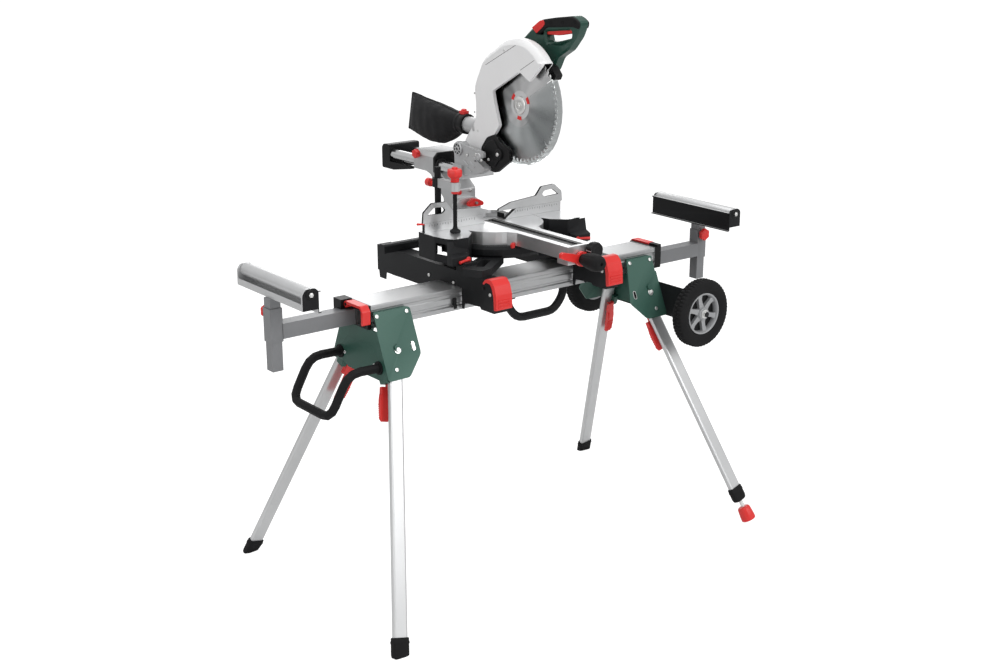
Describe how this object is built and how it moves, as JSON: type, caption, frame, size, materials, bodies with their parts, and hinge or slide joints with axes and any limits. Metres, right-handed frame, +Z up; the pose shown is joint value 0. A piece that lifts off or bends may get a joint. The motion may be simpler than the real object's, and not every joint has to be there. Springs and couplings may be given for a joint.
{
  "type": "mitre saw on folding stand",
  "caption": "Sliding compound mitre saw clamped to a folding wheeled stand with roller extensions; head, table, slide, fences, legs and clamps all move.",
  "frame": {"origin": "on the floor, under the middle of the whole part's plan", "axes": "+X along the beam to the operator's right, +Y away from the operator, +Z up"},
  "size_m": [1.494, 0.9502, 1.5089],
  "materials": {
    "aluminium": "extruded, satin",
    "cast_aluminium": "cast and machined",
    "light_casing": "light grey paint",
    "grey_tube": "grey powder coat",
    "green_sheet": "dark green powder coat",
    "green_plastic": "dark green plastic",
    "black_steel": "black powder coat",
    "black_plastic": "moulded",
    "red_plastic": "moulded red",
    "foot_rubber": "moulded",
    "tyre": "moulded",
    "rim_plastic": "grey plastic",
    "blade_steel": "ground",
    "clear_guard": "clear plastic",
    "bag_cloth": "woven"
  },
  "bodies": {
    "stand": {"beam": "aluminium", "trestle_left": "green_sheet", "trestle_right": "green_sheet", "beam_handle": "black_steel", "carry_handle": "black_steel", "wheel_bracket": "black_steel"},
    "carriage": {"machine_bracket_left": "black_steel", "machine_bracket_right": "black_steel", "saw_base": "cast_aluminium", "fence": "cast_aluminium"},
    "turntable": {"turntable": "aluminium", "kerf_plate": "black_plastic"},
    "column": {"tilt_column": "cast_aluminium"},
    "slide": {"slide_head": "cast_aluminium", "rail_end": "black_plastic"},
    "head": {"head_housing": "light_casing", "motor_housing": "green_plastic", "dust_bag": "bag_cloth"},
    "blade": {"blade": "blade_steel"},
    "lower_guard": {"lower_guard": "clear_guard"},
    "trigger": {"trigger": "red_plastic"},
    "lock_button": {"lock_button": "red_plastic"},
    "mitre_grip": {"mitre_grip": "black_plastic"},
    "mitre_lever": {"mitre_lever": "red_plastic"},
    "bevel_lever": {"bevel_lever": "red_plastic"},
    "fence_slide_left": {"fence_slide_left": "cast_aluminium"},
    "fence_slide_right": {"fence_slide_right": "cast_aluminium"},
    "work_clamp": {"clamp_post": "black_steel"},
    "clamp_screw": {"clamp_screw": "red_plastic"},
    "bracket_lever_left": {"bracket_lever_left": "red_plastic"},
    "bracket_lever_right": {"bracket_lever_right": "red_plastic"},
    "bar_clamp_left": {"bar_clamp_left": "red_plastic"},
    "bar_clamp_right": {"bar_clamp_right": "red_plastic"},
    "wheel_front": {"tyre_front": "tyre", "rim_front": "rim_plastic"},
    "wheel_rear": {"tyre_rear": "tyre", "rim_rear": "rim_plastic"},
    "levelling_foot": {"levelling_foot": "red_plastic"},
    "extension_left": {"extension_bar_left": "grey_tube"},
    "roller_head_left": {"roller_post_left": "grey_tube", "roller_channel_left": "aluminium"},
    "roller_left": {"roller_left": "aluminium"},
    "height_knob_left": {"height_knob_left": "red_plastic"},
    "leg_front_left": {"leg_front_left": "aluminium", "foot_cap_front_left": "foot_rubber"},
    "leg_lever_front_left": {"leg_lever_front_left": "red_plastic"},
    "leg_rear_left": {"leg_rear_left": "aluminium", "foot_cap_rear_left": "foot_rubber"},
    "leg_lever_rear_left": {"leg_lever_rear_left": "red_plastic"},
    "extension_right": {"extension_bar_right": "grey_tube"},
    "roller_head_right": {"roller_post_right": "grey_tube", "roller_channel_right": "aluminium"},
    "roller_right": {"roller_right": "aluminium"},
    "height_knob_right": {"height_knob_right": "red_plastic"},
    "leg_front_right": {"leg_front_right": "aluminium", "foot_cap_front_right": "foot_rubber"},
    "leg_lever_front_right": {"leg_lever_front_right": "red_plastic"},
    "leg_rear_right": {"leg_rear_right": "aluminium", "foot_cap_rear_right": "foot_rubber"},
    "leg_lever_rear_right": {"leg_lever_rear_right": "red_plastic"}
  },
  "joints": [
    {"name": "carriage_slide", "type": "slide", "parent": "stand", "child": "carriage", "axis": [1, 0, 0], "range_m": [-0.12, 0.12]},
    {"name": "turntable_swivel", "type": "hinge", "parent": "carriage", "child": "turntable", "pos_m": [0.014, -0.00385, 0.932], "axis": [0, 0, 1], "range_deg": [-45, 45]},
    {"name": "bevel_tilt", "type": "hinge", "parent": "turntable", "child": "column", "pos_m": [0.014, 0.16115, 0.932], "axis": [0, 1, 0], "range_deg": [-30, 47]},
    {"name": "head_slide", "type": "slide", "parent": "column", "child": "slide", "axis": [0, -1, 0], "range_m": [0, 0.11]},
    {"name": "head_chop", "type": "hinge", "parent": "slide", "child": "head", "pos_m": [0.014, 0.09715, 1.127], "axis": [1, 0, 0], "range_deg": [0, 45], "stiffness_Nm_per_rad": 20, "springref_deg": -91.67},
    {"name": "blade_spin", "type": "hinge", "parent": "head", "child": "blade", "pos_m": [0.014, -0.11485, 1.268], "axis": [1, 0, 0], "continuous": true},
    {"name": "guard_swing", "type": "hinge", "parent": "head", "child": "lower_guard", "pos_m": [0.014, -0.11485, 1.268], "axis": [1, 0, 0], "range_deg": [-165, 5]},
    {"name": "trigger_pull", "type": "hinge", "parent": "head", "child": "trigger", "pos_m": [0.074, -0.19885, 1.472], "axis": [-1, 0, 0], "range_deg": [0, 8], "stiffness_Nm_per_rad": 0.6, "springref_deg": -20.05},
    {"name": "lock_button_press", "type": "slide", "parent": "head", "child": "lock_button", "axis": [1, 0, 0], "range_m": [0, 0.004], "stiffness_N_per_m": 400, "springref_m": -0.004},
    {"name": "mitre_grip_twist", "type": "hinge", "parent": "turntable", "child": "mitre_grip", "pos_m": [0.014, -0.36385, 0.897], "axis": [0, -1, 0], "range_deg": [0, 90]},
    {"name": "mitre_lever_press", "type": "hinge", "parent": "turntable", "child": "mitre_lever", "pos_m": [0.014, -0.36385, 0.897], "axis": [0, -1, 0], "range_deg": [0, 10], "stiffness_Nm_per_rad": 1, "springref_deg": -28.65},
    {"name": "bevel_lever_turn", "type": "hinge", "parent": "turntable", "child": "bevel_lever", "pos_m": [0.028, 0.10815, 0.965], "axis": [0, -1, 0], "range_deg": [0, 20]},
    {"name": "fence_left_slide", "type": "slide", "parent": "carriage", "child": "fence_slide_left", "axis": [-1, 0, 0], "range_m": [0, 0.1]},
    {"name": "fence_right_slide", "type": "slide", "parent": "carriage", "child": "fence_slide_right", "axis": [1, 0, 0], "range_m": [0, 0.1]},
    {"name": "clamp_swing", "type": "hinge", "parent": "carriage", "child": "work_clamp", "pos_m": [-0.161, 0.02415, 0.932], "axis": [0, 0, 1], "range_deg": [-40, 0]},
    {"name": "clamp_screw_feed", "type": "slide", "parent": "work_clamp", "child": "clamp_screw", "axis": [0, 0, 1], "range_m": [0, 0.06]},
    {"name": "bracket_lever_left_lift", "type": "hinge", "parent": "carriage", "child": "bracket_lever_left", "pos_m": [-0.176, -0.22785, 0.822], "axis": [-1, 0, 0], "range_deg": [0, 35]},
    {"name": "bracket_lever_right_lift", "type": "hinge", "parent": "carriage", "child": "bracket_lever_right", "pos_m": [0.216, -0.22785, 0.822], "axis": [-1, 0, 0], "range_deg": [0, 35]},
    {"name": "bar_clamp_left_lift", "type": "hinge", "parent": "stand", "child": "bar_clamp_left", "pos_m": [-0.51, -0.06585, 0.8005], "axis": [-1, 0, 0], "range_deg": [0, 60]},
    {"name": "bar_clamp_right_lift", "type": "hinge", "parent": "stand", "child": "bar_clamp_right", "pos_m": [0.538, -0.08585, 0.8005], "axis": [1, 0, 0], "range_deg": [0, 60]},
    {"name": "wheel_front_spin", "type": "hinge", "parent": "stand", "child": "wheel_front", "pos_m": [0.529, -0.31085, 0.643], "axis": [0, 1, 0], "continuous": true},
    {"name": "wheel_rear_spin", "type": "hinge", "parent": "stand", "child": "wheel_rear", "pos_m": [0.529, 0.15915, 0.643], "axis": [0, 1, 0], "continuous": true},
    {"name": "extension_left_slide", "type": "slide", "parent": "stand", "child": "extension_left", "axis": [-1, 0, 0], "range_m": [-0.16, 0.3]},
    {"name": "roller_left_height", "type": "slide", "parent": "extension_left", "child": "roller_head_left", "axis": [0, 0, 1], "range_m": [-0.015, 0.07]},
    {"name": "roller_left_spin", "type": "hinge", "parent": "roller_head_left", "child": "roller_left", "pos_m": [-0.713, -0.05385, 0.891], "axis": [0, 1, 0], "continuous": true},
    {"name": "height_knob_left_turn", "type": "hinge", "parent": "extension_left", "child": "height_knob_left", "pos_m": [-0.728, -0.03385, 0.812], "axis": [0, 1, 0], "continuous": true},
    {"name": "extension_right_slide", "type": "slide", "parent": "stand", "child": "extension_right", "axis": [1, 0, 0], "range_m": [-0.12, 0.3]},
    {"name": "roller_right_height", "type": "slide", "parent": "extension_right", "child": "roller_head_right", "axis": [0, 0, 1], "range_m": [-0.015, 0.07]},
    {"name": "roller_right_spin", "type": "hinge", "parent": "roller_head_right", "child": "roller_right", "pos_m": [0.713, -0.09785, 0.901], "axis": [0, 1, 0], "continuous": true},
    {"name": "height_knob_right_turn", "type": "hinge", "parent": "extension_right", "child": "height_knob_right", "pos_m": [0.728, -0.11785, 0.812], "axis": [0, 1, 0], "continuous": true},
    {"name": "leg_front_left_fold", "type": "hinge", "parent": "stand", "child": "leg_front_left", "pos_m": [-0.443, -0.16835, 0.69], "axis": [0, -0.9236, 0.3835], "range_deg": [0, 104]},
    {"name": "leg_lever_front_left_pull", "type": "hinge", "parent": "stand", "child": "leg_lever_front_left", "pos_m": [-0.46431, -0.17365, 0.60422], "axis": [0.9673, -0.0973, -0.2344], "range_deg": [0, 16], "stiffness_Nm_per_rad": 1.5, "springref_deg": -22.92},
    {"name": "leg_rear_left_fold", "type": "hinge", "parent": "stand", "child": "leg_rear_left", "pos_m": [-0.443, 0.01665, 0.69], "axis": [0, -0.9236, -0.3835], "range_deg": [0, 104]},
    {"name": "leg_lever_rear_left_pull", "type": "hinge", "parent": "stand", "child": "leg_lever_rear_left", "pos_m": [-0.46431, 0.02194, 0.60422], "axis": [-0.9673, -0.0973, 0.2344], "range_deg": [0, 16], "stiffness_Nm_per_rad": 1.5, "springref_deg": -22.92},
    {"name": "leg_front_right_fold", "type": "hinge", "parent": "stand", "child": "leg_front_right", "pos_m": [0.452, -0.14485, 0.69], "axis": [0, 0.9122, -0.4098], "range_deg": [0, 95]},
    {"name": "leg_lever_front_right_pull", "type": "hinge", "parent": "stand", "child": "leg_lever_front_right", "pos_m": [0.47165, -0.16282, 0.60854], "axis": [0.9723, 0.0959, 0.2134], "range_deg": [0, 16], "stiffness_Nm_per_rad": 1.5, "springref_deg": -22.92},
    {"name": "leg_rear_right_fold", "type": "hinge", "parent": "stand", "child": "leg_rear_right", "pos_m": [0.452, -0.00685, 0.69], "axis": [0, 0.9122, 0.4098], "range_deg": [0, 95]},
    {"name": "leg_lever_rear_right_pull", "type": "hinge", "parent": "stand", "child": "leg_lever_rear_right", "pos_m": [0.47165, 0.01111, 0.60854], "axis": [-0.9723, 0.0959, -0.2134], "range_deg": [0, 16], "stiffness_Nm_per_rad": 1.5, "springref_deg": -22.92},
    {"name": "levelling_foot_screw", "type": "slide", "parent": "leg_front_right", "child": "levelling_foot", "axis": [0.2339, -0.3984, -0.8869], "range_m": [0, 0.025]}
  ],
  "couplings": [
    {"joint": "guard_swing", "follows": "head_chop", "ratio": -3.6}
  ]
}
